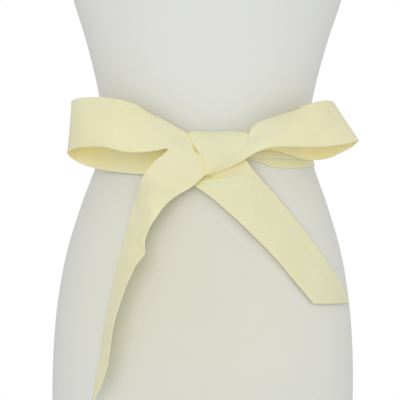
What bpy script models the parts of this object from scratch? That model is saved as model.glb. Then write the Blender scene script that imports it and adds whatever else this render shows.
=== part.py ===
# Satin sash tied in a bow round the waist of a limbless dress form.
# Metres, +Z up. The front faces -Y, +X is the viewer's right, and the origin is
# the centre of the form's flat base.

from math import cos, pi, radians, sin

import bmesh
import bpy
from mathutils import Vector

MM = 0.001

# Cloth
SASH_WIDTH = 57 * MM      # one strip, two layers sewn together and pressed flat
WALL = 1.6 * MM           # thickness of the sewn strip
CLEAR = 0.8 * MM          # air between the band and the form under it
SEAM = 0.4 * MM           # air between two stretches of the same strip
ACROSS = 8                # panels across the strip
STEPS = 3                 # panels between two sections of a table

# Dress form
FORM_SIDES = 48
FORM_STEPS = 2            # rings between two rows of the form's table
SQUARENESS = 2.2          # of its sections: 2 is an ellipse, more is squarer
BUST_SIDE = 76 * MM       # off the centre line
BUST_HEIGHT = 548 * MM
BUST_RISE = 15 * MM
BUST_SPREAD = 46 * MM

# Waist band
BAND_SIDES = 64
BAND_CREASE = 330 * MM    # height of the fold where the upper pleat ends
BAND_CREASE_SOFT = 0.7 * MM
BAND_STEP = 2.0 * MM      # how far the upper pleat stands proud of the lower one
BAND_UPPER_PANELS = 5

# Rows are millimetres: height, half width, depth in front, depth behind.
FORM_ROWS = (
    (0, 168, 110, 116),
    (60, 170.8, 115, 125),
    (115, 170, 119, 132),
    (170, 165.5, 119.5, 135),
    (227, 155.4, 116, 129),
    (284, 138.1, 109, 113),
    (318, 125.6, 102.5, 100),
    (345, 118.3, 97, 91),
    (368, 117, 94.5, 87.5),
    (392, 120, 95.5, 88.5),
    (425, 126.8, 99.5, 92),
    (470, 139, 108, 99),
    (513, 152.9, 115.5, 106),
    (555, 163, 118, 111),
    (600, 166, 113, 113),
    (650, 166, 102, 112),
    (695, 160, 88, 104),
    (725, 138, 74, 91),
    (743, 104, 64, 78),
    (757, 72, 57, 67),
    (778, 57, 52, 60),
    (815, 54, 50, 56),
)

# Rows are degrees from the front centre towards +X, then the height of the
# band's lower edge, the share of the strip's width that is spread there and how
# strong its pleat is.
BAND_ROWS = (
    (-180, 326, 1.0, 0.0),
    (-125, 324, 1.0, 0.0),
    (-90, 322, 1.0, 0.0),
    (-62, 321, 0.92, 0.4),
    (-38, 323, 0.7, 1.0),
    (-14, 326, 0.46, 1.0),
    (8, 327, 0.4, 1.0),
    (28, 327.6, 0.44, 1.0),
    (34, 324.6, 0.55, 1.0),
    (40, 321.3, 0.66, 1.0),
    (55, 320.7, 0.84, 0.9),
    (75, 323.8, 0.97, 0.4),
    (95, 325, 1.0, 0.0),
    (130, 326, 1.0, 0.0),
    (180, 326, 1.0, 0.0),
)

# Each strip's row is one section across the cloth: x, depth and height of its
# first edge, the same of its second edge, then how far the middle bulges out.
# Depth is measured forwards from the form's centre plane.

# Left loop: along its back layer, round the end and back to the knot.
# The first edge is the lower one.
LEFT_LOOP = (
    (8, 105.8, 322, 8, 105.6, 336, 0),
    (-20, 105.4, 320, -17, 105.2, 342, 0),
    (-44, 103, 314.5, -38, 102, 358, 0),
    (-67, 95.5, 311.5, -62, 92.5, 366, 0),
    (-93, 81, 313.5, -89, 79, 371, 0),
    (-121, 65, 318, -118, 62, 379, 2),
    (-140, 60, 324.5, -137, 57.5, 386, 2),
    (-149.4, 65.5, 331.5, -146, 62.5, 390, 0),
    (-149.8, 75, 335, -146, 71.5, 391, 0),
    (-143, 88.5, 338, -141, 83, 391.9, 2),
    (-130, 103.5, 339.8, -130, 93.5, 393, 4),
    (-108, 115, 339.6, -105, 102.5, 392.3, 4),
    (-82, 120, 334.2, -80, 108, 387, 3),
    (-56, 121.4, 335.6, -51, 111, 373.2, 3),
    (-43, 121.6, 338.2, -24, 111.2, 357.8, 1.5),
    (-40, 121.2, 337.4, -7, 110.8, 347, 1),
)

# Left tail: on from the knot to the slanted tip. The first edge is the left one.
LEFT_TAIL = (
    (-41.5, 120.9, 335, 3, 111.6, 335, 2),
    (-46, 120.2, 331, 4, 113.4, 321, 3),
    (-53, 118.6, 325, -1.5, 117.5, 310.5, 4),
    (-62, 114, 313, -14, 121, 298.5, 6),
    (-69.5, 109, 296, -35, 124.5, 286, 8),
    (-77, 104.5, 276, -51, 128.5, 267, 10),
    (-83, 102.2, 250, -62.5, 134, 243, 8),
    (-89, 101.8, 229, -64.5, 140, 224, 5),
    (-96.3, 102, 199, -79.5, 143, 198, 3),
    (-104.3, 102, 157, -93, 142.5, 157, 3),
    (-109.8, 101.6, 119, -98.5, 139, 122, 3),
    (-115.3, 101.2, 86, -103.5, 131, 99, 3),
    (-120.3, 101, 60, -108, 121, 84, 1),
)

# Knot: up behind, over the top, down the front and round towards the right loop.
# The first edge is the left one.
KNOT = (
    (-13, 103.4, 342.5, 41, 103.4, 344, 0),
    (-16.5, 105.2, 351.5, 42.4, 105, 352, 0),
    (-18, 110.5, 356.6, 43, 109.4, 356.8, 0),
    (-17.2, 115.2, 352, 42.8, 112.4, 356, 1),
    (-12.4, 117.6, 342.4, 42.8, 113.7, 354.8, 2.5),
    (-5.2, 119.2, 330.4, 43.1, 114.4, 353.6, 3.5),
    (-1.3, 119.8, 314, 43.7, 114.8, 352.6, 4),
    (1.5, 119.4, 310, 44.5, 115, 352, 4),
    (20, 118.2, 316.6, 45.6, 115, 352.2, 3.5),
    (35.5, 117.4, 324.6, 47.4, 114.7, 353.8, 3),
    (46, 117, 331, 50.6, 113.8, 360.2, 2.5),
)

# Right loop: on from the knot, round the end and back. The first edge is the
# lower one.
RIGHT_LOOP = (
    (56, 116.8, 336.8, 55.4, 112.8, 367.2, 2),
    (67, 117, 340.6, 64, 111.7, 372.2, 2),
    (81, 117.6, 342, 77, 110.8, 375.8, 3),
    (100, 116.4, 342, 94, 107.6, 382, 4),
    (126, 107, 342.8, 114, 99, 389.6, 4),
    (149, 93.5, 346.4, 130.5, 84.5, 393.4, 2),
    (164.6, 80, 350.6, 138, 73.5, 392.6, 0),
    (165.5, 71.5, 349.6, 139.4, 66, 391.2, 0),
    (158, 64.5, 343, 134, 59.5, 388, 0),
    (135, 61.5, 332, 118, 58, 383, 2),
    (112, 66, 329.8, 101, 64, 377, 0),
    (89, 80.5, 335.2, 81, 82, 368, 0),
    (70, 91, 339.5, 63, 92.5, 359, 0),
    (46, 100.6, 334, 42, 101.6, 344, 0),
    (31, 104.4, 328, 29, 104.6, 339, 0),
    (15, 106, 324, 15, 106, 336, 0),
)

# Right tail: its depths are lifts off the form's surface. The first edge is the
# left one.
RIGHT_TAIL = (
    (-19, 7, 314, 33, 13, 337, 0),
    (-12, 6.6, 300.5, 44, 12, 326, 1),
    (6, 6, 287.5, 57, 8.4, 309, 2),
    (30, 5, 267.4, 75, 5.4, 291, 2),
    (58, 4, 241.2, 98.5, 3.6, 264, 2),
    (81, 3.6, 217.5, 120.5, 3.2, 236.5, 1),
    (101, 3.4, 194, 141.5, 3, 208.6, 1),
    (111.5, 3.2, 182, 154, 2.8, 190, 0),
    (118, 3, 174, 162, 2.6, 171.4, 0),
)


# Smooth curve through the rows of a table
def row_at(rows, stations, at):
    """Values of a table at a station, on a smooth curve through its rows."""
    last = len(rows) - 1
    i = 0
    while i < last - 1 and at > stations[i + 1]:
        i += 1
    span = stations[i + 1] - stations[i]
    s = (at - stations[i]) / span

    def slope(k, column):
        low, high = max(k - 1, 0), min(k + 1, last)
        return (rows[high][column] - rows[low][column]) / (stations[high] - stations[low])

    keep = (2 * s + 1) * (s - 1) ** 2
    pull = s * (s - 1) ** 2
    turn = s * s * (s - 1)
    return [
        rows[i][c] * keep + rows[i + 1][c] * (1 - keep)
        + span * (slope(i, c) * pull + slope(i + 1, c) * turn)
        for c in range(len(rows[0]))
    ]


# Surface of the dress form
def form_section(z):
    """Half width, front depth and back depth of the form at a height."""
    heights = [row[0] for row in FORM_ROWS]
    return [value * MM for value in row_at(FORM_ROWS, heights, z / MM)[1:]]


def bust(x, z):
    """Extra depth of the two soft bust mounds."""
    side = (abs(x) - BUST_SIDE) / BUST_SPREAD
    level = (z - BUST_HEIGHT) / BUST_SPREAD
    return BUST_RISE / (1 + (side * side + level * level) ** 1.5)


def on_form(angle, z, lift):
    """Point at an angle from the front centre, lifted off the form's surface."""
    half, front, back = form_section(z)
    depth = front if cos(angle) > 0 else back
    side = (abs(sin(angle)) / (half + lift)) ** SQUARENESS
    ahead = (abs(cos(angle)) / (depth + lift)) ** SQUARENESS
    radius = (side + ahead) ** (-1 / SQUARENESS)
    x = radius * sin(angle)
    y = -radius * cos(angle)
    if y < 0:
        y -= bust(x, z) * max(cos(angle), 0)
    return Vector((x, y, z))


def over_form(x, z, lift):
    """Point seen at x and z from the front, lifted off the form's surface."""
    half, front, _ = form_section(z)
    share = min(abs(x) / (half + lift), 1)
    return Vector((x, -(front + lift) * (1 - share ** SQUARENESS) ** (1 / SQUARENESS), z))


# Sections of the strip
def table_edges(table):
    """Both edges and the bulge at each station of a strip's table."""
    stations = list(range(len(table)))
    count = (len(table) - 1) * STEPS
    return [[value * MM for value in row_at(table, stations, i / STEPS)] for i in range(count + 1)]


def hanging_sections(table):
    """Grid of middle points of a stretch that hangs free."""
    rows = table_edges(table)
    middles = [Vector((r[0] + r[3], -r[1] - r[4], r[2] + r[5])) / 2 for r in rows]
    grid = []
    for i, (x1, d1, z1, x2, d2, z2, bulge) in enumerate(rows):
        first, second = Vector((x1, -d1, z1)), Vector((x2, -d2, z2))
        along = middles[min(i + 1, len(rows) - 1)] - middles[max(i - 1, 0)]
        outward = along.cross(second - first).normalized()
        shares = [j / ACROSS for j in range(ACROSS + 1)]
        grid.append([first.lerp(second, u) + outward * bulge * 4 * u * (1 - u) for u in shares])
    return grid


def laid_sections(table):
    """Grid of middle points of a stretch that lies over the form."""
    grid = []
    for x1, lift1, z1, x2, lift2, z2, bulge in table_edges(table):
        line = []
        for j in range(ACROSS + 1):
            u = j / ACROSS
            lift = lift1 + (lift2 - lift1) * u + bulge * 4 * u * (1 - u)
            line.append(over_form(x1 + (x2 - x1) * u, z1 + (z2 - z1) * u, lift))
        grid.append(line)
    return grid


def band_sections():
    """Grid of middle points of the band, one line for each side round the waist."""
    degrees = [row[0] for row in BAND_ROWS]
    grid = []
    for i in range(BAND_SIDES):
        turn = 360 * i / BAND_SIDES - 180
        _, low, spread, strength = row_at(BAND_ROWS, degrees, turn)
        low = low * MM
        top = low + spread * SASH_WIDTH
        upper = BAND_CREASE + BAND_CREASE_SOFT
        heights = [low, BAND_CREASE - BAND_CREASE_SOFT]
        heights += [upper + (top - upper) * j / BAND_UPPER_PANELS for j in range(BAND_UPPER_PANELS + 1)]
        rest = CLEAR + WALL / 2
        line = []
        for z in heights:
            proud = BAND_STEP * strength if z > BAND_CREASE else 0
            line.append(on_form(radians(turn), z, rest + proud))
        grid.append(line)
    return grid


def point_normals(grid, ring=False):
    """Normal at each point of a grid, from the panels round it."""
    mesh = bmesh.new()
    lines = [[mesh.verts.new(point) for point in points] for points in grid]
    followers = lines[1:] + lines[:1] if ring else lines[1:]
    for line, follower in zip(lines, followers):
        for j in range(len(line) - 1):
            mesh.faces.new((line[j], line[j + 1], follower[j + 1], follower[j]))
    mesh.normal_update()
    normals = [[vertex.normal.copy() for vertex in line] for line in lines]
    mesh.free()
    return normals


def split_at(grid, table):
    """Two stretches that meet at the table's last section, a seam's width apart."""
    normals = point_normals(grid)
    cut = (len(table) - 1) * STEPS
    before, after = grid[:cut + 1], grid[cut:]
    for part, end, inner in ((before, -1, -2), (after, 0, 1)):
        line = (part[end][-1] - part[end][0]).normalized()
        moved = []
        for point, neighbour in zip(part[end], part[inner]):
            away = neighbour - point
            away -= line * away.dot(line)
            moved.append(point + away.normalized() * SEAM / 2)
        part[end] = moved
    return (before, normals[:cut + 1]), (after, normals[cut:])


# Solids
def material(name, colour, roughness):
    """Plain material with the part's colour."""
    made = bpy.data.materials.new(name)
    made.use_nodes = True
    shader = made.node_tree.nodes["Principled BSDF"]
    shader.inputs["Base Color"].default_value = (*colour, 1)
    shader.inputs["Roughness"].default_value = roughness
    return made


def add_object(name, mesh, finish):
    """Object for a closed mesh whose faces are turned outwards and smoothed."""
    bmesh.ops.recalc_face_normals(mesh, faces=mesh.faces)
    data = bpy.data.meshes.new(name)
    mesh.to_mesh(data)
    mesh.free()
    data.shade_smooth()
    data.set_sharp_from_angle(angle=radians(40))
    data.materials.append(finish)
    made = bpy.data.objects.new(name, data)
    bpy.context.collection.objects.link(made)
    return made


def cloth_wall(name, stretch, finish, ring=False):
    """Closed wall of cloth round a stretch's middle points."""
    grid, normals = stretch
    mesh = bmesh.new()
    skins = []
    for offset in (-WALL / 2, WALL / 2):
        skins.append([
            [mesh.verts.new(point + normal * offset) for point, normal in zip(points, line)]
            for points, line in zip(grid, normals)
        ])
    back, front = skins
    count, width = len(grid), len(grid[0])
    for i in range(count if ring else count - 1):
        k = (i + 1) % count
        for j in range(width - 1):
            mesh.faces.new((back[i][j], back[i][j + 1], back[k][j + 1], back[k][j]))
            mesh.faces.new((front[i][j], front[k][j], front[k][j + 1], front[i][j + 1]))
        for j in (0, width - 1):
            mesh.faces.new((back[i][j], back[k][j], front[k][j], front[i][j]))
    if not ring:
        for i in (0, count - 1):
            for j in range(width - 1):
                mesh.faces.new((back[i][j], front[i][j], front[i][j + 1], back[i][j + 1]))
    return add_object(name, mesh, finish)


def dress_form(finish):
    """Solid torso, lofted through rings and closed flat at the neck and the base."""
    mesh = bmesh.new()
    rings = []
    for low, high in zip(FORM_ROWS, FORM_ROWS[1:]):
        for k in range(FORM_STEPS):
            z = (low[0] + (high[0] - low[0]) * k / FORM_STEPS) * MM
            rings.append(z)
    rings.append(FORM_ROWS[-1][0] * MM)
    loops = []
    for z in rings:
        angles = [2 * pi * i / FORM_SIDES for i in range(FORM_SIDES)]
        loops.append([mesh.verts.new(on_form(angle, z, 0)) for angle in angles])
    for lower, upper in zip(loops, loops[1:]):
        for i in range(FORM_SIDES):
            k = (i + 1) % FORM_SIDES
            mesh.faces.new((lower[i], lower[k], upper[k], upper[i]))
    mesh.faces.new(loops[0])
    mesh.faces.new(loops[-1])
    return add_object("dress_form", mesh, finish)


def build():
    """Clear the scene, then make the form and the sash on it."""
    for old in list(bpy.data.objects):
        bpy.data.objects.remove(old, do_unlink=True)
    satin = material("pale_yellow_satin", (0.78, 0.74, 0.48), 0.42)
    jersey = material("off_white_jersey", (0.72, 0.71, 0.67), 0.9)

    dress_form(jersey)
    band = band_sections()
    cloth_wall("waist_band", (band, point_normals(band, ring=True)), satin, ring=True)
    loop_left, tail_left = split_at(hanging_sections(LEFT_LOOP + LEFT_TAIL), LEFT_LOOP)
    cloth_wall("loop_left", loop_left, satin)
    cloth_wall("tail_left", tail_left, satin)
    knot, loop_right = split_at(hanging_sections(KNOT + RIGHT_LOOP), KNOT)
    cloth_wall("knot", knot, satin)
    cloth_wall("loop_right", loop_right, satin)
    tail = laid_sections(RIGHT_TAIL)
    cloth_wall("tail_right", (tail, point_normals(tail)), satin)


build()
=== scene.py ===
# %% [markdown]
# # A satin sash tied in a bow, on a limbless dress form
# The real sash is one long strip: two layers of satin sewn together, turned and pressed flat.
# It goes once round the waist of a padded form and is tied in front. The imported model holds
# each stretch of it as a solid wall. Here every stretch becomes thin cloth that lies where its
# solid lies, give or take a few millimetres.

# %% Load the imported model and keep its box
from math import pi, radians

import bpy
import numpy as np
from mathutils import Matrix, Vector, noise
from mathutils.bvhtree import BVHTree


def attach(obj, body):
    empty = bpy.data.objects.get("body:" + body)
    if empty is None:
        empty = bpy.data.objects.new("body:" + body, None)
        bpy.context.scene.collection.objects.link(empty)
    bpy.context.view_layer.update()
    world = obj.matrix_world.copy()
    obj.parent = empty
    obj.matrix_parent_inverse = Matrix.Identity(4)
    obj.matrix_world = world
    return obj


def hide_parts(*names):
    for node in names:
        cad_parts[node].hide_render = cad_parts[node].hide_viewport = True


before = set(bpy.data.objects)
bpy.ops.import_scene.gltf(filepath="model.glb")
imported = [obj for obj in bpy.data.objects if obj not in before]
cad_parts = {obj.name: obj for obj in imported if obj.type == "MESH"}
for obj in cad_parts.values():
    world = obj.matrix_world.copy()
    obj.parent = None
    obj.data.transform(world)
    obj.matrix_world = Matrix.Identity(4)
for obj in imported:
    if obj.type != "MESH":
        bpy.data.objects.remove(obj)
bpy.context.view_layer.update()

MM = 0.001
print("solids:", sorted(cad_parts))

# %% [markdown]
# ## Camera
# The photograph looks straight at the front, from a height just under the bow. A long lens
# keeps the sides of the form parallel, so the camera stands well back. A wider lens close by
# could frame the same width, but it would bend the hips away. The picture is also turned by
# less than one degree.

# %% Camera
CAMERA_PLACE = (-0.0054, -1.6, 0.2843)
CAMERA_LENS = 126          # mm
CAMERA_SENSOR = 36         # mm wide
CAMERA_TURN = 0.0112       # radians round the line of sight
CAMERA_NEAREST = 0.05      # m, nothing closer is drawn

camera_data = bpy.data.cameras.new("photo_camera")
camera_data.lens = CAMERA_LENS
camera_data.sensor_width = CAMERA_SENSOR
camera_data.clip_start = CAMERA_NEAREST
camera = bpy.data.objects.new("photo_camera", camera_data)
camera.location = CAMERA_PLACE
looking = Matrix.Rotation(pi / 2, 3, "X") @ Matrix.Rotation(CAMERA_TURN, 3, "Z")
camera.rotation_euler = looking.to_euler()
bpy.context.scene.collection.objects.link(camera)
bpy.context.scene.camera = camera
print("camera stands", -CAMERA_PLACE[1], "m in front of the form's centre")

# %% [markdown]
# ## Studio
# A product table is lit by large soft panels in front of a white sweep. The strongest stands
# in front, a little to the left and above, because the hanging end throws a soft shadow to its
# right. Weaker ones stand at the sides, and one lies low in front, where a white floor would
# throw light up into the loops. White surroundings fill the rest. The sweep itself is plain
# white: the surroundings show as pure white to the camera and light the cloth less strongly.

# %% Surroundings
SURROUND_LIGHT = 0.635
WHITE = (1, 1, 1, 1)


def node(tree, kind, **values):
    """New node of a kind, with some of its sockets set."""
    made = tree.nodes.new("ShaderNode" + kind)
    for socket, value in values.items():
        made.inputs[socket.replace("_", " ")].default_value = value
    return made


def white_surroundings():
    """White to the camera, and a weaker white light on everything else."""
    world = bpy.data.worlds.new("white_sweep")
    world.use_nodes = True
    tree = world.node_tree
    lighting = tree.nodes["Background"]
    lighting.inputs["Color"].default_value = WHITE
    lighting.inputs["Strength"].default_value = SURROUND_LIGHT
    shown = node(tree, "Background", Color=WHITE)
    ray = node(tree, "LightPath")
    either = node(tree, "MixShader")
    tree.links.new(ray.outputs["Is Camera Ray"], either.inputs[0])
    tree.links.new(lighting.outputs[0], either.inputs[1])
    tree.links.new(shown.outputs[0], either.inputs[2])
    tree.links.new(either.outputs[0], tree.nodes["World Output"].inputs["Surface"])
    bpy.context.scene.world = world


white_surroundings()
bpy.context.scene.view_settings.view_transform = "Standard"
print("white surroundings that light the cloth at", SURROUND_LIGHT)

# %% Light panels
# A panel's row is: name, place in m, side in m and watts.
PANELS = (
    ("key_panel", (-0.38, -1.95, 0.75), 1.45, 11.3),
    ("left_panel", (-1.7, -0.6, 0.5), 1.2, 0.8),
    ("right_panel", (1.7, -0.6, 0.5), 1.2, 3.4),
    ("floor_panel", (0.15, -1.5, -0.35), 0.9, 1.3),
)
PANELS_FACE = (0, -0.1, 0.33)    # the bow


def light_panel(name, place, size, power):
    """Square soft light that faces the bow."""
    data = bpy.data.lights.new(name, "AREA")
    data.size = size
    data.energy = power
    panel = bpy.data.objects.new(name, data)
    panel.location = place
    facing = Vector(PANELS_FACE) - Vector(place)
    panel.rotation_euler = facing.to_track_quat("-Z", "Y").to_euler()
    bpy.context.scene.collection.objects.link(panel)


for panel_row in PANELS:
    light_panel(*panel_row)
print(len(PANELS), "light panels")

# %% [markdown]
# ## Table top
# The form stands on a white table that runs on into the sweep. One huge white plane could stand
# for both, but its edge would show from behind. A round top whose rim turns clear melts into
# the white from every side, and still catches the form's shadow.

# %% Table top
TABLE_RADIUS = 0.36
TABLE_FADE = 0.10          # width of the rim where it melts into the white sweep
TABLE_SIDES = 96
TABLE_GAP = 0.5 * MM       # under the form's base
TABLE_PAINT = (0.86, 0.86, 0.85, 1)


def finish(name, **values):
    """New material, its nodes and its surface, with some of the surface's sockets set."""
    made = bpy.data.materials.new(name)
    made.use_nodes = True
    surface = made.node_tree.nodes["Principled BSDF"]
    for socket, value in values.items():
        surface.inputs[socket.replace("_", " ")].default_value = value
    return made, made.node_tree, surface


def table_finish():
    """Matt white paint that turns clear towards the rim."""
    made, tree, paint = finish("white_table", Base_Color=TABLE_PAINT, Roughness=0.8)
    place = node(tree, "TexCoord")
    distance = node(tree, "VectorMath")
    distance.operation = "LENGTH"
    fade_starts = TABLE_RADIUS - TABLE_FADE
    fade = node(tree, "MapRange", From_Min=fade_starts, From_Max=TABLE_RADIUS, To_Min=1, To_Max=0)
    fade.interpolation_type = "SMOOTHSTEP"
    tree.links.new(place.outputs["Object"], distance.inputs[0])
    tree.links.new(distance.outputs["Value"], fade.inputs["Value"])
    tree.links.new(fade.outputs["Result"], paint.inputs["Alpha"])
    return made


def table_top():
    """Flat round top, just under the form's base."""
    mesh = bpy.data.meshes.new("table_top")
    turns = np.linspace(0, 2 * pi, TABLE_SIDES, endpoint=False)
    rim = [(TABLE_RADIUS * np.cos(t), TABLE_RADIUS * np.sin(t), -TABLE_GAP) for t in turns]
    mesh.from_pydata(rim, [], [list(range(len(rim)))])
    mesh.materials.append(table_finish())
    top = bpy.data.objects.new("table_top", mesh)
    bpy.context.scene.collection.objects.link(top)
    print("table top", 2 * TABLE_RADIUS, "m across")


table_top()

# %% [markdown]
# ## Tables of sections
# A tailor describes a body by its measures at certain heights, and a hanging strip can be told
# the same way: where its two edges are at certain places along it. A smooth curve through the
# rows gives everything between. Sculpting by hand would be freer, but these rows are the ones
# that the solids are lofted from, a few of them moved by some millimetres where thin cloth can
# follow the photograph closer than a wall, so cloth and solid lie together.

# %% Smooth curve through the rows of a table
def row_at(rows, stations, at):
    """Rows of a table read at any stations, on a smooth curve through its rows."""
    rows = np.array(rows, float)
    stations = np.array(stations, float)
    slopes = np.gradient(rows, axis=0) / np.gradient(stations)[:, None]
    i = np.clip(np.searchsorted(stations, at, side="right") - 1, 0, len(rows) - 2)
    span = (stations[i + 1] - stations[i])[:, None]
    s = (np.asarray(at)[:, None] - stations[i][:, None]) / span
    keep = (2 * s + 1) * (s - 1) ** 2
    pull = s * (s - 1) ** 2
    turn = s * s * (s - 1)
    return (
        rows[i] * keep + rows[i + 1] * (1 - keep)
        + span * (slopes[i] * pull + slopes[i + 1] * turn)
    )


halfway = row_at(((0,), (4,), (4,)), (0, 1, 2), (0.5,))[0, 0]
print("rows of 0, 4 and 4 read", round(halfway, 2), "halfway between the first two")

# %% [markdown]
# ## Dress form
# The form is a light foam torso without head, arms or legs, under a jersey cover that is pulled
# smooth. It could be kept as the plain solid, whose flat panels would show on its outline. Finer
# rings through the same measures give the round outline of the real padding.

# %% Measures of the form
# Columns in mm: height, half width, depth in front and depth behind.
FORM_ROWS = (
    (0, 168, 110, 116),
    (60, 170.8, 115, 125),
    (115, 170, 119, 132),
    (170, 165.5, 119.5, 135),
    (227, 155.4, 116, 129),
    (284, 138.1, 109, 113),
    (318, 125.6, 102.5, 100),
    (345, 118.3, 97, 91),
    (368, 117, 94.5, 87.5),
    (392, 120, 95.5, 88.5),
    (425, 126.8, 99.5, 92),
    (470, 139, 108, 99),
    (513, 152.9, 115.5, 106),
    (555, 163, 118, 111),
    (600, 166, 113, 113),
    (650, 166, 102, 112),
    (695, 160, 88, 104),
    (725, 138, 74, 91),
    (743, 104, 64, 78),
    (757, 72, 57, 67),
    (778, 57, 52, 60),
    (815, 54, 50, 56),
)
HIP_ROW = 1
WAIST_ROW = 8
print("hips", 2 * FORM_ROWS[HIP_ROW][1], "mm wide, waist", 2 * FORM_ROWS[WAIST_ROW][1], "mm wide")

# %% Surface of the form
SQUARENESS = 2.2           # of its sections: 2 is an ellipse, more is squarer
BUST_SIDE = 76 * MM        # from the centre
BUST_HEIGHT = 548 * MM
BUST_RISE = 15 * MM
BUST_SPREAD = 46 * MM
BUST_FALL = 1.5            # how fast it dies away beyond its spread


def form_section(z):
    """Half width, front depth and back depth of the form at some heights."""
    heights = [row[0] for row in FORM_ROWS]
    flat = row_at(FORM_ROWS, heights, np.ravel(z) / MM)[:, 1:] * MM
    return [column.reshape(np.shape(z)) for column in flat.T]


def on_form(angle, z, lift):
    """Points at angles from the front centre, lifted off the form's surface."""
    half, front, back = form_section(z)
    depth = np.where(np.cos(angle) > 0, front, back)
    side = (np.abs(np.sin(angle)) / (half + lift)) ** SQUARENESS
    ahead = (np.abs(np.cos(angle)) / (depth + lift)) ** SQUARENESS
    radius = (side + ahead) ** (-1 / SQUARENESS)
    x = radius * np.sin(angle)
    y = -radius * np.cos(angle)
    aside = (np.abs(x) - BUST_SIDE) / BUST_SPREAD
    above = (z - BUST_HEIGHT) / BUST_SPREAD
    bust = BUST_RISE / (1 + (aside * aside + above * above) ** BUST_FALL)
    y = y - bust * np.maximum(np.cos(angle), 0)
    return np.stack((x, y, z + 0 * x), -1)


def over_form(x, z, lift):
    """Points seen at x and z from the front, lifted off the form's surface."""
    half, front, _ = form_section(z)
    share = np.minimum(np.abs(x) / (half + lift), 1)
    y = -(front + lift) * (1 - share ** SQUARENESS) ** (1 / SQUARENESS)
    return np.stack((x, y, z), -1)


front_of_hips = -on_form(np.zeros(1), np.full(1, FORM_ROWS[HIP_ROW][0] * MM), 0)[0, 1]
print("hips come", round(float(front_of_hips) / MM), "mm forwards of the form's centre plane")

# %% Mesh of the form
FORM_SIDES = 160
FORM_RINGS = 150
FORM_ROUNDING = 2.5 * MM   # of the cover where it turns under the base and over the neck
ROUNDING_BENDS = radians(30) * np.arange(4)    # from the upright side to the flat end
CHART_RADIUS = 0.12        # m, a middling ring, which the cover's chart takes for all of them


def mesh_object(name, points, faces, chart=None):
    """Smooth object of points and faces, with a flat chart for its weave."""
    mesh = bpy.data.meshes.new(name)
    mesh.from_pydata(points.tolist(), [], faces)
    if chart is not None:
        layer = mesh.uv_layers.new(name="weave")
        corners = np.zeros(len(mesh.loops), int)
        mesh.loops.foreach_get("vertex_index", corners)
        layer.data.foreach_set("uv", chart[corners].astype(np.float32).ravel())
    mesh.shade_smooth()
    made = bpy.data.objects.new(name, mesh)
    bpy.context.scene.collection.objects.link(made)
    return made


def dress_form():
    """Rings from base to neck, closed by a flat face at each end."""
    top = FORM_ROWS[-1][0] * MM
    turned_in = FORM_ROUNDING * (np.cos(ROUNDING_BENDS) - 1)
    rolled = FORM_ROUNDING * (1 - np.sin(ROUNDING_BENDS))
    heights = np.linspace(FORM_ROUNDING, top - FORM_ROUNDING, FORM_RINGS)
    lifts = np.concatenate((turned_in[::-1], np.zeros(FORM_RINGS - 2), turned_in))
    heights = np.concatenate((rolled[::-1], heights[1:-1], top - rolled))
    turns = np.linspace(0, 2 * pi, FORM_SIDES, endpoint=False)
    rings = on_form(turns[None, :], heights[:, None], lifts[:, None])
    points = rings.reshape(-1, 3)
    faces = []
    for i in range(len(heights) - 1):
        for j in range(FORM_SIDES):
            k = (j + 1) % FORM_SIDES
            here = i * FORM_SIDES
            above = here + FORM_SIDES
            faces.append((here + j, here + k, above + k, above + j))
    last = (len(heights) - 1) * FORM_SIDES
    faces.append(tuple(range(FORM_SIDES - 1, -1, -1)))
    faces.append(tuple(range(last, last + FORM_SIDES)))
    around = np.broadcast_to(turns[None, :] * CHART_RADIUS, rings.shape[:2]).ravel()
    chart = np.stack((around, points[:, 2]), 1)
    made = mesh_object("torso", points, faces, chart)
    print("torso:", len(points), "points,", len(faces), "faces")
    return made


torso = dress_form()

# %% [markdown]
# ## Strip of cloth
# A hanging stretch is a ruled strip between its two edges, with a little bulge across the
# middle. Cloth simulation could drape it, but a pressed double sash holds the pose that the
# hands gave it, and a simulated one would slump out of it. So the pose comes from the table.
# Where the edges are drawn together towards the knot, the spare width tucks under one of them.

# %% Width of the strip and the tuck at its edge
SASH_WIDTH = 57 * MM
ACROSS_STEPS = 40
even = np.linspace(0, 1, ACROSS_STEPS + 1)
SHARES = (even + (1 - np.cos(pi * even)) / 2) / 2    # closer together near the edges
TUCK_BEND = 0.6 * MM       # how round the fold of a tuck is
TUCK_GAP = 1.7 * MM        # from the middle of the strip to the middle of its tuck
TUCK_STARTS = 4 * MM       # spare width at which the tuck is fully there
TUCK_MOST = 0.7            # of the spread width can fold in
TUCK_EASE = 0.5            # of a row to either side of a tuck's ends, over which it fades
TUCK_CLEAR = 3             # bends past the edge, where the fold waits if nothing is tucked


def tuck_under(span, tucked, at):
    """Share across and depth behind, where the spare width folds in at the second edge."""
    near = np.zeros_like(at)
    for start, end in tucked:
        near = np.maximum(near, np.clip(np.minimum(at - start, end - at) + TUCK_EASE, 0, 1))
    spare = np.clip(SASH_WIDTH - span, 0, TUCK_MOST * span) * near
    s = SHARES[None, :] * (span + spare)[:, None]
    fold = span + TUCK_CLEAR * TUCK_BEND * (1 - np.clip(spare / TUCK_STARTS, 0, 1))
    before = fold[:, None] / TUCK_BEND
    after = (s - fold[:, None]) / TUCK_BEND
    share = (np.logaddexp(before, -before) - np.logaddexp(after, -after)) * TUCK_BEND
    behind = TUCK_GAP * (1 + np.tanh(after)) / 2
    return share / span[:, None], behind


print("strip", round(SASH_WIDTH / MM), "mm wide in", ACROSS_STEPS, "panels")

# %% Middle surface of a hanging or a laid stretch
ALONG_STEPS = 9            # panels between two rows of a table


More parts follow.
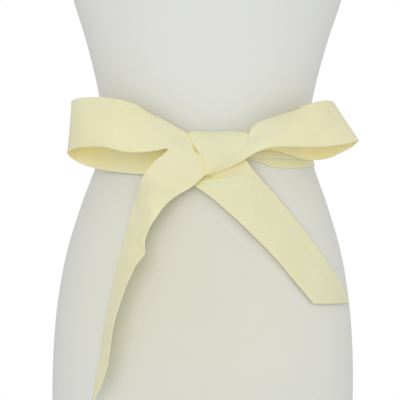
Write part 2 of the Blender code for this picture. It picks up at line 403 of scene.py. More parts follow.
def hanging_grid(rows, tucked=()):
    """Grid of middle points between the two edges of a table's rows."""
    at = np.arange((len(rows) - 1) * ALONG_STEPS + 1) / ALONG_STEPS
    x1, d1, z1, x2, d2, z2, bulge = row_at(rows, range(len(rows)), at).T * MM
    first = np.stack((x1, -d1, z1), 1)
    second = np.stack((x2, -d2, z2), 1)
    along = np.gradient((first + second) / 2, axis=0)
    outward = np.cross(along, second - first)
    outward /= np.linalg.norm(outward, axis=1, keepdims=True)
    share, behind = tuck_under(np.linalg.norm(second - first, axis=1), tucked, at)
    out = bulge[:, None] * 4 * share * (1 - share) - behind
    flat = first[:, None] + (second - first)[:, None] * share[..., None]
    return flat + outward[:, None] * out[..., None]


def laid_grid(rows):
    """Grid of middle points of a stretch that lies over the form."""
    at = np.arange((len(rows) - 1) * ALONG_STEPS + 1) / ALONG_STEPS
    x1, lift1, z1, x2, lift2, z2, bulge = row_at(rows, range(len(rows)), at).T[:, :, None] * MM
    u = SHARES[None, :]
    lift = lift1 + (lift2 - lift1) * u + bulge * 4 * u * (1 - u)
    return over_form(x1 + (x2 - x1) * u, z1 + (z2 - z1) * u, lift)


print(ALONG_STEPS, "panels between two rows of a table")

# %% Lengths and directions on a grid
def lengths(grid):
    """Distance along and across the cloth at each point of a grid, in mm."""
    steps = np.linalg.norm(np.diff(grid.mean(1), axis=0), axis=1)
    along = np.concatenate(([0], np.cumsum(steps))) / MM
    steps = np.linalg.norm(np.diff(grid, axis=1), axis=2)
    across = np.concatenate((np.zeros((len(grid), 1)), np.cumsum(steps, 1)), 1) / MM
    return np.broadcast_to(along[:, None], across.shape), across


def outward_normals(grid, ring=False):
    """Direction out of the cloth at each point, the mean of the panels round it."""
    here = grid if ring else grid[:-1]
    ahead = np.roll(grid, -1, 0) if ring else grid[1:]
    faces = np.cross(ahead[:, :-1] - here[:, 1:], ahead[:, 1:] - here[:, :-1])
    normals = np.zeros_like(grid)
    rows = np.arange(len(here))
    following = (rows + 1) % len(grid)
    for line in (rows, following):
        for points in (slice(0, -1), slice(1, None)):
            block = normals[line]
            block[:, points] += faces
            normals[line] = block
    return normals / np.linalg.norm(normals, axis=2, keepdims=True)


plumb = np.array((((0, 0, 1), (1, 0, 1)), ((0, 0, 0), (1, 0, 0))), float)
print("a strip that hangs straight down faces", outward_normals(plumb)[0, 0])

# %% [markdown]
# ## Creases
# Where a strip is pinched under the knot, soft folds run out of it and die away. Each crease
# here is a short line on the cloth: deepest at its first end and gone at its second. Drawing
# them in the shading alone would look flat from the side, so they move the cloth itself.
# Handled cloth is never quite even either, so a faint slack goes over the whole strip.

# %% Press creases into a strip
# A crease's row is: table row and mm across at its deep end, the same at its far end, its width
# in mm, how many mm it stands out (a trough is negative), and its shape: 0 for a fold between
# two flat sides, 1 if pinched, 2 if soft.
CREASE_FADE = 0.8          # 1 dies away evenly along a crease, less keeps it deep for longer
SLACK_SIZE = 0.035         # m, from one swell to the next
SLACK_HEIGHT = 0.45 * MM


def crease_shift(along, across, stations, creases):
    """How far the creases move each point of a grid outwards, in metres."""
    shift = np.zeros_like(across)
    for row_1, c1, row_2, c2, width, rise, shape in creases:
        a1, a2 = np.interp((row_1, row_2), stations, along[:, 0])
        run = np.array((a2 - a1, c2 - c1))
        t = ((along - a1) * run[0] + (across - c1) * run[1]) / (run @ run)
        t = np.clip(t, 0, 1)
        off = np.hypot(along - a1 - run[0] * t, across - c1 - run[1] * t)
        side = np.exp(-(off / width) ** shape) if shape else np.maximum(1 - off / width, 0)
        shift += rise * MM * side * (1 - t) ** CREASE_FADE
    return shift


def slack(grid, seed):
    """Faint unevenness of handled cloth, the same on every run."""
    flat = grid.reshape(-1, 3) / SLACK_SIZE
    values = [noise.noise(Vector(point) + Vector((seed, 0, 0))) for point in flat]
    return np.array(values).reshape(grid.shape[:2]) * SLACK_HEIGHT


def crease(grid, creases, seed, stations=None):
    """Grid with creases and slack pressed in, and how far out each of its points moved.

    An open strip counts its creases' places in table rows, a closed ring in its own stations.
    """
    along, across = lengths(grid)
    ring = stations is not None
    if not ring:
        stations = np.arange(len(grid)) / ALONG_STEPS
    shift = crease_shift(along, across, stations, creases)
    shift += slack(grid, seed)
    return grid + outward_normals(grid, ring) * shift[..., None], shift


print("slack of", round(SLACK_HEIGHT / MM, 2), "mm at most over every strip")

# %% [markdown]
# ## Sewn strip
# Both layers are sewn right sides together near the edges and turned. The seam allowance stays
# inside, so the strip is a little fuller for 7 mm next to each edge, and the edge is a rounded
# fold, not a cut. A flat plane with a thickness modifier would give square edges of one
# thickness, so the two skins are laid here one by one.

# %% Faces of the two skins
def shell_faces(count, width, ring):
    """Faces of two skins and the edges between them, and of both ends unless it is a ring."""
    back = count * width
    low = 2 * count * width
    high = low + count
    end = width - 1
    faces = []
    for i in range(count if ring else count - 1):
        i2 = (i + 1) % count
        a = i * width
        b = i2 * width
        for j in range(end):
            faces.append((a + j, b + j, b + j + 1, a + j + 1))
            faces.append((back + a + j, back + a + j + 1, back + b + j + 1, back + b + j))
        faces.append((a, low + i, low + i2, b))
        faces.append((back + a, back + b, low + i2, low + i))
        faces.append((a + end, b + end, high + i2, high + i))
        faces.append((back + a + end, high + i, high + i2, back + b + end))
    if not ring:
        for i, turned in ((0, False), (count - 1, True)):
            a = i * width
            closing = [(a + j, a + j + 1, back + a + j + 1, back + a + j) for j in range(end)]
            closing.append((a, back + a, low + i))
            closing.append((a + end, high + i, back + a + end))
            faces += [face[::-1] for face in closing] if turned else closing
    return faces


print("a strip of one panel has", len(shell_faces(2, 2, False)), "faces")

# %% Two skins and rounded edges
CLOTH = 1.0 * MM           # thickness of the two layers
ALLOWANCE = 7.0            # mm of seam allowance inside each edge
ALLOWANCE_FULL = 0.18      # how much thicker the strip is there
ALLOWANCE_EASE = 1.0       # mm, how softly that ends
EDGE_ROUND = 0.4 * MM      # how far the folded edge bows out
EDGE_THINNER = 0.3         # share by which the skins come together at it
EDGE_EASE = 0.35           # mm from the edge within which they do


def sewn_strip(name, creased, ring=False):
    """Closed shell of cloth round a creased grid, with the depth of its troughs on its front."""
    grid, shift = creased
    along, across = lengths(grid)
    normals = outward_normals(grid, ring)
    from_edge = np.minimum(across, across[:, -1:] - across)
    full = 1 + ALLOWANCE_FULL / (1 + np.exp((from_edge - ALLOWANCE) / ALLOWANCE_EASE))
    rounded = 1 - EDGE_THINNER * np.exp(-(from_edge / EDGE_EASE) ** 2)
    half = (CLOTH / 2 * full * rounded)[..., None]
    sides = []
    for edge, inner in ((0, 1), (-1, -2)):
        out = grid[:, edge] - grid[:, inner]
        out /= np.linalg.norm(out, axis=1, keepdims=True)
        sides.append(grid[:, edge] + out * EDGE_ROUND)
    front = (grid + normals * half).reshape(-1, 3)
    back = (grid - normals * half).reshape(-1, 3)
    points = np.concatenate((front, back, *sides))
    flat = np.stack((across, along), -1) * MM
    skin = flat.reshape(-1, 2)
    chart = np.concatenate((skin, skin, flat[:, 0], flat[:, -1]))
    count, width = grid.shape[:2]
    faces = shell_faces(count, width, ring)
    made = mesh_object(name, points, faces, chart)
    trough = np.maximum(-shift, 0) / MM
    skins = np.concatenate((trough.ravel(), np.zeros(len(points) - trough.size)))
    layer = made.data.attributes.new("trough", "FLOAT", "POINT")
    layer.data.foreach_set("value", skins.astype(np.float32))
    made["cloth_length"] = float(along[-1, 0] * MM)
    if ring:
        made["cloth_length"] += float(np.linalg.norm(grid[0].mean(0) - grid[-1].mean(0)))
    print(name, "is", round(made["cloth_length"], 3), "m long,", len(faces), "faces")
    return made


print("cloth", round(CLOTH / MM, 1), "mm thick, fuller for", ALLOWANCE, "mm next to its edges")

# %% [markdown]
# ## Left loop and hanging end
# The left loop starts behind the knot, runs out along its back layer, turns at a soft fold and
# comes back as its front layer. At the knot it turns down round one corner and goes on as the
# end that hangs in front of the form. It could be two strips that meet under the knot, but on
# the real bow the cloth runs through, so one strip with one fold shows the turn as it is.

# %% Tables of the left loop and end
# Columns in mm: x, depth and height of the first edge, the same of the second edge, and how far
# the middle bulges out. Depth is measured forwards from the form's centre plane.
LEFT_LOOP = (
    (8, 105.8, 322, 8, 105.6, 336, 0),
    (-20, 105.4, 320, -17, 105.2, 342, 0),
    (-44, 103, 314.5, -38, 102, 358, 0),
    (-67, 95.5, 311.5, -62, 92.5, 366, 0),
    (-93, 81, 313.5, -89, 79, 371, 0),
    (-121, 65, 318, -118, 62, 379, 2),
    (-140, 60, 324.5, -137, 57.5, 386, 2),
    (-149.4, 65.5, 331.5, -146, 62.5, 390, 0),
    (-149.8, 75, 335, -146, 71.5, 391, 0),
    (-143, 88.5, 338, -141, 83, 391.9, 2),
    (-130, 103.5, 339.8, -130, 93.5, 393, 4),
    (-108, 115, 339.6, -105, 102.5, 392.3, 4),
    (-82, 120, 334.2, -80, 108, 387, 3),
    (-56, 121.4, 335.6, -51, 111, 373.2, 3),
    (-43, 121.6, 338.2, -24, 111.2, 357.8, 1.5),
    (-40, 121.2, 337.4, -7, 110.8, 347, 1),
)
LEFT_TAIL = (
    (-41.5, 120.9, 335, 3, 111.6, 335, 2),
    (-46, 120.2, 331, 4, 113.4, 321, 3),
    (-53, 118.6, 325, -1.5, 117.5, 310.5, 4),
    (-62, 114, 313, -14, 121, 298.5, 4),
    (-69.5, 109, 296, -33, 124.5, 286, 3),
    (-77, 104.5, 276, -47.5, 128.5, 267, 2),
    (-83, 102.2, 250, -60, 134, 243, 1),
    (-89, 101.8, 229, -64.5, 140, 224, 1),
    (-96.3, 102, 199, -79.5, 143, 198, 1),
    (-104.3, 102, 157, -93, 142.5, 157, 1),
    (-109.8, 101.6, 119, -98.5, 139, 122, 1),
    (-115.3, 101.2, 86, -103.5, 131, 99, 1),
    (-120.3, 101, 60, -108, 121, 84, 1),
)
print(len(LEFT_LOOP + LEFT_TAIL), "rows from behind the knot to the tip of the end")

# %% Creases of the left loop and end
LEFT_TUCKS = ((0, 2.5), (12.5, 15.5))    # from row to row of the table
LEFT_CREASES = (
    (2.2, 14, 4.6, 26, 4, 1.2, 2),         # fold behind, beside the knot
    (11.8, 40, 12.0, 4, 8, -1.5, 2),       # dent down the face of the loop
    (14.4, 27, 12.2, 43, 4.5, 1.0, 2),     # ridge that runs out of the knot
    (14.3, 21, 12.7, 18, 3, -0.8, 2),      # trough under that ridge
    (16.4, 40, 14.2, 24, 8, 1.6, 2),       # fullness that bears on the wrap
    (15.9, 33, 15.2, 28, 2, -2.6, 1),      # slit beside the wrap
    (17.2, 40, 18.4, 48, 4, -1.1, 2),      # hollow along the wrap, below the slit
    (20.3, 24, 16.5, -26, 23, 7, 0),       # slanting fold where the end turns aside, upper half
    (20.3, 24, 23.6, 64, 23, 7, 0),        # and its lower half
    (22.8, 44, 22.3, 2, 4, -3.5, 1),       # pinched fold across the end
    (23.4, 42, 23.3, 6, 7, 2.4, 2),        # where the end bulges below it
    (26.5, 38, 26.3, 8, 4, -1.6, 1),       # kink near the tip
)
print(len(LEFT_CREASES), "creases and", len(LEFT_TUCKS), "tucks")

# %% Left loop and end
left_middle = hanging_grid(LEFT_LOOP + LEFT_TAIL, LEFT_TUCKS)
left_creased = crease(left_middle, LEFT_CREASES, seed=3)
left_piece = sewn_strip("left_loop_and_end", left_creased)

# %% [markdown]
# ## Knot and right loop
# The other side of the sash comes up behind the bow, goes over its top and down its front as a
# smooth wrap, and is pulled through to the right, where it opens into the right loop. One strip
# again: the wrap's folded corner is only sharp because the cloth turns about it.

# %% Tables of the knot and the right loop
KNOT = (
    (-13, 103.4, 342.5, 41, 103.4, 344, 0),
    (-16.5, 105.2, 351.5, 42.4, 105, 352, 0),
    (-18, 110.5, 356.6, 43, 109.4, 356.8, 0),
    (-17.2, 115.2, 352, 42.8, 112.2, 356.4, 1),
    (-12.4, 117.6, 342.4, 42.7, 113.6, 356, 2.5),
    (-5.2, 119.2, 330.4, 43, 114.5, 356, 3.5),
    (-1.3, 119.8, 314, 43.6, 115, 356, 4),
    (1.5, 119.4, 310, 44.3, 115.2, 356.1, 4),
    (20, 118.2, 316.6, 45.1, 115.2, 356.5, 3.5),
    (35.5, 117.4, 324.6, 46.2, 115, 358, 3),
    (46, 117, 331, 48.6, 114.2, 362.2, 2.5),
)
RIGHT_LOOP = (
    (56, 116.8, 336.8, 54, 112.9, 367.6, 2),
    (67, 117, 340.6, 64, 111.7, 372.2, 2),
    (81, 117.6, 342, 77, 110.8, 375.8, 3),
    (100, 116.4, 342, 94, 107.6, 382, 4),
    (126, 107, 342.8, 114, 99, 389.6, 4),
    (149, 93.5, 346.4, 130.5, 84.5, 393.4, 2),
    (164.6, 80, 350.6, 138, 73.5, 392.6, 0),
    (165.5, 71.5, 349.6, 139.4, 66, 391.2, 0),
    (158, 64.5, 343, 134, 59.5, 388, 0),
    (135, 61.5, 332, 118, 58, 383, 2),
    (112, 66, 329.8, 101, 64, 377, 0),
    (89, 80.5, 335.2, 81, 82, 368, 0),
    (70, 91, 339.5, 63, 92.5, 359, 0),
    (46, 100.6, 334, 42, 101.6, 344, 0),
    (31, 104.4, 328, 29, 104.6, 339, 0),
    (15, 106, 324, 15, 106, 336, 0),
)
print(len(KNOT + RIGHT_LOOP), "rows from behind the bow, over it and round the right loop")

# %% Creases of the knot and the right loop
RIGHT_TUCKS = ((8.5, 14), (21, 26))
RIGHT_CREASES = (
    (9.3, 27, 9.8, 15, 2.2, -1.1, 1),      # pinch beside the corner of the knot
    (9.6, 17, 12.6, 5, 5, -1.0, 2),        # shallow trough on from the pinch
    (11.3, 22, 14.5, 30, 6, 0.9, 2),       # ridge along the loop's top
    (16.0, 40, 15.9, 18, 7, -1.2, 2),      # dent near the fold end
    (3.3, 0, 4.3, 0, 3, -1.5, 2),          # left edge of the wrap bends in, top
    (5.1, 0, 6.6, 0, 3.5, -2.6, 2),        # and lower down
    (5.0, 8, 6.6, 14, 6, 0.9, 2),          # fullness of the wrap beside it
    (7.2, 0, 6.2, 0, 8, -2.0, 2),          # lower edge of the wrap rolls in, left half
    (7.2, 0, 8.8, 0, 8, -2.0, 2),          # and right half
    (23.6, 10, 21.2, 26, 5, 1.2, 2),       # fold behind, beside the knot
)
print(len(RIGHT_CREASES), "creases and", len(RIGHT_TUCKS), "tucks")

# %% Knot and right loop
right_middle = hanging_grid(KNOT + RIGHT_LOOP, RIGHT_TUCKS)
right_creased = crease(right_middle, RIGHT_CREASES, seed=7)
right_piece = sewn_strip("knot_and_right_loop", right_creased)

# %% [markdown]
# ## Right end
# The second end slips out under the slanted edge of the knot and lies down over the hip, cut
# off at a slant. Its table holds lifts off the form, not depths, so that it follows the form's
# curve by itself.

# %% Right end
# Columns in mm: x, lift and height of the first edge, the same of the second edge, and how far
# the middle bulges out.
RIGHT_TAIL = (
    (-19, 7, 314, 33, 13, 337, 0),
    (-12, 6.6, 300.5, 44, 12, 326, 1),
    (6, 6, 287.5, 57, 8.4, 309, 2),
    (30, 5, 267.4, 75, 5.4, 291, 2),
    (58, 4, 241.2, 98.5, 3.6, 264, 2),
    (81, 3.6, 217.5, 120.5, 3.2, 236.5, 1),
    (101, 3.4, 194, 141.5, 3, 208.6, 1),
    (111.5, 3.2, 182, 154, 2.8, 190, 0),
    (118, 3, 174, 162, 2.6, 171.4, 0),
)
END_CREASES = (
    (0.75, 14, 1.5, 62, 4, -4.6, 1),       # fold step where the end slips out of the knot
    (1.12, 12, 1.9, 52, 2.6, 2.4, 2),      # fullness below it
    (1.9, 46, 4.6, -18, 20, 4.2, 0),       # low fold, the cloth right of it turns away
    (3.2, 50, 6.2, 34, 9, -0.9, 2),        # long shallow trough near the right edge
)

end_creased = crease(laid_grid(RIGHT_TAIL), END_CREASES, seed=11)
end_piece = sewn_strip("right_end", end_creased)

# %% [markdown]
# ## Waist band
# Round the back the strip lies at its full width. Towards the knot it is drawn together, and
# the spare width goes into one lengthwise pleat: up, back down behind, and up again. A ridge on
# a single surface would fake it, but a real pleat has a shadow under its fold, so the section
# below truly doubles back. The pleat shrinks to nothing where the strip is spread out.

# %% Table of the waist band
# Columns: degrees from the front centre towards +X, height of the lower edge in mm, and the
# share of the strip's width that is spread there.
BAND_ROWS = (
    (-180, 326, 1.0),
    (-125, 324, 1.0),
    (-90, 322, 1.0),
    (-62, 321, 0.92),
    (-38, 323, 0.7),
    (-14, 326, 0.46),
    (8, 327, 0.4),
    (28, 327.6, 0.44),
    (34, 324.6, 0.55),
    (40, 321.3, 0.66),
    (55, 320.7, 0.84),
    (75, 323.8, 0.97),
    (95, 325, 1.0),
    (130, 326, 1.0),
    (180, 326, 1.0),
)
print("drawn together to", min(row[2] for row in BAND_ROWS), "of its width in front")

# %% Section of the waist band
BAND_SIDES = 360
BAND_PANELS = 96
BAND_REST = 1.0            # mm from the form to the middle of the lowest layer
PLEAT_FOLD = 330           # mm, height of the pleat's fold
PLEAT_GAP = 1.35           # mm between the middles of two layers
PLEAT_BEND = 0.5           # mm, how round the folds are
PLEAT_STARTS = 2.0         # mm of spare width in a layer at which the pleat is fully there


def band_grid(turns):
    """Closed ring of sections at some degrees, each with its pleat."""
    degrees = [row[0] for row in BAND_ROWS]
    _, low, spread = row_at(BAND_ROWS, degrees, turns).T[:, :, None]
    width = SASH_WIDTH / MM
    spare = np.maximum(1 - spread, 0) * width / 2
    s = np.linspace(0, width, BAND_PANELS + 1)[None, :]
    fold_1 = PLEAT_FOLD - low + spare
    fold_2 = fold_1 + spare
    step_1 = (1 + np.tanh((s - fold_1) / PLEAT_BEND)) / 2
    step_2 = (1 + np.tanh((s - fold_2) / PLEAT_BEND)) / 2
    slope = 1 - 2 * (step_1 - step_2)
    panel = width / BAND_PANELS
    climbs = np.cumsum((slope[:, 1:] + slope[:, :-1]) / 2 * panel, 1)
    rise = np.concatenate((np.zeros_like(low), climbs), 1)
    strength = np.clip(spare / PLEAT_STARTS, 0, 1)
    lift = BAND_REST + PLEAT_GAP * strength * (step_1 + step_2)
    angle = np.radians(turns)[:, None]
    return on_form(angle, (low + rise) * MM, lift * MM)


print(BAND_SIDES, "sections round the waist,", BAND_PANELS, "panels in each")

# %% Waist band
# Here a crease's first and third columns are degrees from the front centre. All of them stand
# out, because the form leaves no room for a trough.
BAND_CREASES = (
    (-52, 34, -96, 22, 4, 1.5, 2),         # pulled out of the knot, left side
    (-48, 46, -80, 50, 3.5, 1.1, 2),
    (54, 30, 98, 20, 4, 1.4, 2),           # and right side
    (58, 44, 84, 48, 3.5, 1.0, 2),
    (-104, 40, -150, 30, 5, 1.8, 2),       # soft folds round the back
    (-128, 12, -172, 18, 4.5, 1.5, 2),
    (112, 42, 158, 34, 5, 1.7, 2),
    (138, 14, 176, 20, 4.5, 1.4, 2),
)
degrees_round = np.linspace(-180, 180, BAND_SIDES, endpoint=False)
band_creased = crease(band_grid(degrees_round), BAND_CREASES, seed=5, stations=degrees_round)
band_piece = sewn_strip("waist_wrap", band_creased, ring=True)

# %% [markdown]
# ## Painted bounce light in the hollows of the bow
# Light that reaches the inside of a loop or the foot of a fold has bounced from satin to satin,
# and each bounce takes more blue out of it. So hollows look a deeper and warmer yellow than the
# open cloth, and here that yellow is painted into the satin's colour as painted bounce light. The
# shader could search for the hollows in every picture. It is quicker, and the same from all sides,
# to tell each point once how much of its outlook is closed in by other cloth. The troughs of the
# creases are too shallow for that search, so their depth is added to the painted bounce light.

# %% Look round from a point
OUTLOOK = 0.055            # m, how far a point looks for other cloth
OUTLOOK_RAYS = 40
CLEAR_OF_CLOTH = 0.3 * MM  # so that a ray doesn't meet the cloth that it starts from


def spread_directions(count):
    """Directions spread evenly over a ball."""
    k = np.arange(count) + 0.5
    height = 1 - 2 * k / count
    turn = pi * (1 + 5 ** 0.5) * k
    flat = np.sqrt(1 - height ** 2)
    return [Vector(ray) for ray in zip(flat * np.cos(turn), flat * np.sin(turn), height)]


def closed_share(mesh, cloth, rays):
    """How much of each point's outlook is closed in: 0 is open and 1 is shut."""
    closed = np.zeros(len(mesh.vertices))
    for i, vertex in enumerate(mesh.vertices):
        normal = vertex.normal
        start = vertex.co + normal * CLEAR_OF_CLOTH
        outlook = 0
        for ray in rays:
            facing = ray.dot(normal)
            if facing > 0:
                outlook += facing
                if cloth.ray_cast(start, ray, OUTLOOK)[0] is not None:
                    closed[i] += facing
        closed[i] /= outlook
    return closed


print("each point looks", round(OUTLOOK / MM), "mm far, along half of", OUTLOOK_RAYS, "rays")

# %% Mark the hollows
SMOOTHINGS = 3
TROUGH_SHARE = 0.06        # what each mm of a trough's depth adds
BAND_SHARE = 0.3           # of the band's value counts, for its outlook is open up and down


def smoothed(values, mesh):
    """Values of a mesh's points, each evened out with its neighbours'."""
    ends = np.zeros(2 * len(mesh.edges), int)
    mesh.edges.foreach_get("vertices", ends)
    ends = ends.reshape(-1, 2)
    counts = np.bincount(ends.ravel(), minlength=len(values))
    for _ in range(SMOOTHINGS):
        sums = np.bincount(ends[:, 0], values[ends[:, 1]], len(values))
        sums += np.bincount(ends[:, 1], values[ends[:, 0]], len(values))
        values = (values + sums / counts) / 2
    return values


def mark_hollows(pieces, shares):
    """Give each piece a value for its painted bounce light at every point: 0 on open cloth, more
    in hollows and troughs.
    """
    points = []
    faces = []
    for piece in pieces:
        start = len(points)
        points += [vertex.co for vertex in piece.data.vertices]
        faces += [[start + i for i in face.vertices] for face in piece.data.polygons]
    cloth = BVHTree.FromPolygons(points, faces)
    rays = spread_directions(OUTLOOK_RAYS)
    for piece, share in zip(pieces, shares):
        mesh = piece.data
        closed = closed_share(mesh, cloth, rays)
        trough = np.zeros(len(closed), np.float32)
        mesh.attributes["trough"].data.foreach_get("value", trough)
        closed = smoothed(closed * share + trough * TROUGH_SHARE, mesh)
        layer = mesh.attributes.new("painted_bounce_mask", "FLOAT", "POINT")
        layer.data.foreach_set("value", closed.astype(np.float32))
        print(piece.name, "is closed in by", round(float(closed.mean()), 2), "on average")


sash = (left_piece, right_piece, end_piece, band_piece)
mark_hollows(sash, (1, 1, 1, BAND_SHARE))

# %% [markdown]
# ## Satin
# Satin is woven with long floats that catch the light along their length, so it has a soft low
# sheen and hardly any visible weave. A glossy plastic setting would shine too hard. Here the
# floats are a staggered brick pattern a fraction of a millimetre wide, laid on the strip's own
# chart, and the gloss is broad with a little sheen on top.

# %% Satin colour
SATIN_COLOUR = (0.83, 0.80, 0.55)
SATIN_DEEP = (0.80, 0.765, 0.515)      # where the dye took a little more
# Painted bounce light: a warmer yellow painted into the satin in hollows and crease troughs.
SATIN_PAINTED_BOUNCE = (1.0, 0.885, 0.475)     # where light bounces from satin to satin
HOLLOW_STARTS = 0.02       # value of a point at which the warm tone sets in
HOLLOW_FULL = 0.6


def blend(tree, amount, first, second):
    """Output that goes from a first to a second colour. The first may be another output."""
    mix = node(tree, "Mix")
    mix.data_type = "RGBA"
    tree.links.new(amount, mix.inputs["Factor"])
    if isinstance(first, tuple):
        mix.inputs["A"].default_value = (*first, 1)
    else:
        tree.links.new(first, mix.inputs["A"])
    mix.inputs["B"].default_value = (*second, 1)
    return mix.outputs["Result"]


def satin_colour(tree):
    """Dye that took a little unevenly, and painted bounce light, a warmer yellow, in the hollows
    and troughs.
    """
    place = node(tree, "TexCoord")
    dye = node(tree, "TexNoise", Scale=22.0, Detail=3.0, Roughness=0.6)
    tree.links.new(place.outputs["Object"], dye.inputs["Vector"])
    shade = node(tree, "MapRange", From_Min=0.3, From_Max=0.7, To_Min=0.0, To_Max=1.0)
    tree.links.new(dye.outputs["Fac"], shade.inputs["Value"])
    dyed = blend(tree, shade.outputs["Result"], SATIN_COLOUR, SATIN_DEEP)
    # Painted bounce light, as strong as each point's mask of closed-in outlook and trough depth.
    closed = node(tree, "Attribute")
    closed.attribute_name = "painted_bounce_mask"
    hollow = node(tree, "MapRange", From_Min=HOLLOW_STARTS, From_Max=HOLLOW_FULL,
                  To_Min=0.0, To_Max=1.0)
    tree.links.new(closed.outputs["Fac"], hollow.inputs["Value"])
    return blend(tree, hollow.outputs["Result"], dyed, SATIN_PAINTED_BOUNCE)


print("satin warms as a point's value goes from", HOLLOW_STARTS, "to", HOLLOW_FULL)

# %% Satin floats
FLOAT_WIDTH = 0.00035      # m, of one thread
FLOAT_SPAN = 5             # widths that one float is long
FLOAT_STAGGER = 0.4        # of its length, from one row to the next
FLOAT_GAP = 0.00005        # m, between two rows
FLOAT_HEIGHTS = {"Color1": 1, "Color2": 0.8, "Mortar": 0.4}


def satin_floats(tree):
    """Heights of the floats, which run along the strip."""
    chart = node(tree, "UVMap")
    chart.uv_map = "weave"
    turn = node(tree, "VectorRotate", Angle=pi / 2)
    turn.rotation_type = "Z_AXIS"
    floats = node(tree, "TexBrick", Scale=1.0, Mortar_Size=FLOAT_GAP, Mortar_Smooth=1.0,
                  Brick_Width=FLOAT_WIDTH * FLOAT_SPAN, Row_Height=FLOAT_WIDTH)
    floats.offset = FLOAT_STAGGER
    for socket, height in FLOAT_HEIGHTS.items():
        floats.inputs[socket].default_value = (height, height, height, 1)
    tree.links.new(chart.outputs["UV"], turn.inputs["Vector"])
    tree.links.new(turn.outputs["Vector"], floats.inputs["Vector"])
    return floats.outputs["Color"]


print("floats", round(FLOAT_WIDTH * FLOAT_SPAN / MM, 2), "mm long")

# %% Satin material
SATIN_ROUGH_LOW = 0.56     # between the floats
SATIN_ROUGH_HIGH = 0.46    # on top of them
FLOAT_RISE = 0.00005       # m, of a float above the gap


def relief(tree, surface, heights, strength, rise):
    """Give a surface the grain that an output's heights describe."""
    grain = node(tree, "Bump", Strength=strength, Distance=rise)
    tree.links.new(heights, grain.inputs["Height"])
    tree.links.new(grain.outputs["Normal"], surface.inputs["Normal"])


def satin():
    """Pale yellow satin, matt at arm's length and fine-grained close up."""
    made, tree, cloth = finish(
        "pale_yellow_satin", Specular_IOR_Level=0.3, Sheen_Weight=0.12, Sheen_Roughness=0.45,
        Subsurface_Weight=0.5, Subsurface_Radius=(1.0, 0.8, 0.35), Subsurface_Scale=0.002)
    tree.links.new(satin_colour(tree), cloth.inputs["Base Color"])
    heights = satin_floats(tree)
    gloss = node(tree, "MapRange", From_Min=FLOAT_HEIGHTS["Mortar"], From_Max=1.0,
                 To_Min=SATIN_ROUGH_LOW, To_Max=SATIN_ROUGH_HIGH)
    tree.links.new(heights, gloss.inputs["Value"])
    tree.links.new(gloss.outputs["Result"], cloth.inputs["Roughness"])
    relief(tree, cloth, heights, 0.12, FLOAT_RISE)
    return made


satin_finish = satin()
for piece in sash:
    piece.data.materials.append(satin_finish)
print("satin on the strip, threads", FLOAT_WIDTH / MM, "mm wide")

# %% [markdown]
# ## Jersey
# The cover of the form is a fine knit without any shine, pulled so smooth that single stitches
# don't show. What shows is a faint unevenness, where the columns of stitches draw together into
# soft ribs. A photograph of knit could be wrapped round, but a wave across the ribs times a wave
# along them gives the same grain at any distance. Near the sash the cover's colour turns yellower
# and a little darker: painted bounce light from the sash, with a little painted shade.

# %% Ribs of the knit
RIB_WIDTH = 2 * pi * 1.4 * MM          # 8.8 mm
RIB_SWELL = 0.8 * RIB_WIDTH            # along a rib, from one swell to the next
WAVE_WIDTH = 2 * pi / 20   # of a wave texture's wave at a scale of 1


def ribs(tree):
    """Heights of the soft ribs, each a row of swells."""
    chart = node(tree, "UVMap")
    chart.uv_map = "weave"
    both = node(tree, "Math")
    both.operation = "MULTIPLY"
    for i, (direction, width) in enumerate((("X", RIB_WIDTH), ("Y", RIB_SWELL))):
        wave = node(tree, "TexWave", Scale=WAVE_WIDTH / width, Distortion=0.6, Detail=2.0)
        wave.bands_direction = direction
        tree.links.new(chart.outputs["UV"], wave.inputs["Vector"])
        tree.links.new(wave.outputs["Fac"], both.inputs[i])
    return both.outputs["Value"]


print("ribs", round(RIB_WIDTH / MM, 1), "mm wide")

# %% Jersey material
JERSEY_COLOUR = (0.78, 0.79, 0.762)
JERSEY_DEEP = (0.755, 0.765, 0.73)
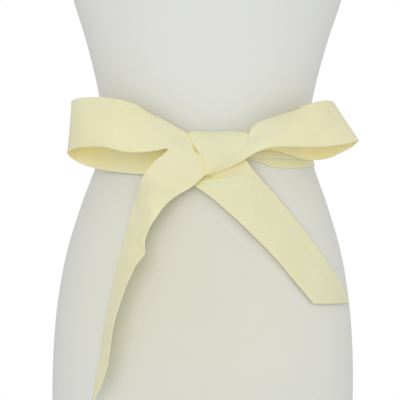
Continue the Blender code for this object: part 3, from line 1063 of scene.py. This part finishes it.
# Painted bounce light and painted shade: the jersey turns yellower and a little darker near the
# sash.
JERSEY_PAINTED_BOUNCE = (0.745, 0.735, 0.62)     # where the sash throws its yellow on it
WARM_MIDDLE = (0.0, -0.12, 0.21)       # between the two hanging ends, where it is strongest
WARM_STARTS = 0.03         # m from there, where it begins to fade
WARM_ENDS = 0.23           # m from there, where it is gone
RIB_RISE = 0.0001          # m


def jersey():
    """Off-white fine knit, with painted yellow bounce light and a little painted shade near the
    sash.
    """
    made, tree, knit = finish(
        "off_white_jersey", Roughness=0.85, Specular_IOR_Level=0.2, Sheen_Weight=0.08)
    place = node(tree, "TexCoord")
    wear = node(tree, "TexNoise", Scale=7.0, Detail=4.0, Roughness=0.55)
    tree.links.new(place.outputs["Object"], wear.inputs["Vector"])
    worn = blend(tree, wear.outputs["Fac"], JERSEY_COLOUR, JERSEY_DEEP)
    from_middle = node(tree, "VectorMath")
    from_middle.operation = "DISTANCE"
    from_middle.inputs[1].default_value = WARM_MIDDLE
    tree.links.new(place.outputs["Object"], from_middle.inputs[0])
    # Painted bounce light and shade from the sash, strongest between the hanging ends.
    cast = node(tree, "MapRange", From_Min=WARM_STARTS, From_Max=WARM_ENDS, To_Min=1.0, To_Max=0.0)
    cast.interpolation_type = "SMOOTHSTEP"
    tree.links.new(from_middle.outputs["Value"], cast.inputs["Value"])
    warmed = blend(tree, cast.outputs["Result"], worn, JERSEY_PAINTED_BOUNCE)
    tree.links.new(warmed, knit.inputs["Base Color"])
    relief(tree, knit, ribs(tree), 0.10, RIB_RISE)
    return made


torso.data.materials.append(jersey())
print("jersey on the torso, its yellow gone", WARM_ENDS, "m from the middle of the ends")

# %% [markdown]
# ## What each piece stands for
# Every piece rides on the one body of the imported model and takes the place of its solids. Each
# cloth piece also carries the length it was cut to.

# %% Pieces and the solids they replace
for piece, nodes, slot in (
    (torso, ["dress_form"], "form_jersey"),
    (left_piece, ["loop_left", "tail_left"], "sash_satin"),
    (right_piece, ["knot", "loop_right"], "sash_satin"),
    (end_piece, ["tail_right"], "sash_satin"),
    (band_piece, ["waist_band"], "sash_satin"),
):
    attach(piece, "root")
    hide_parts(*nodes)
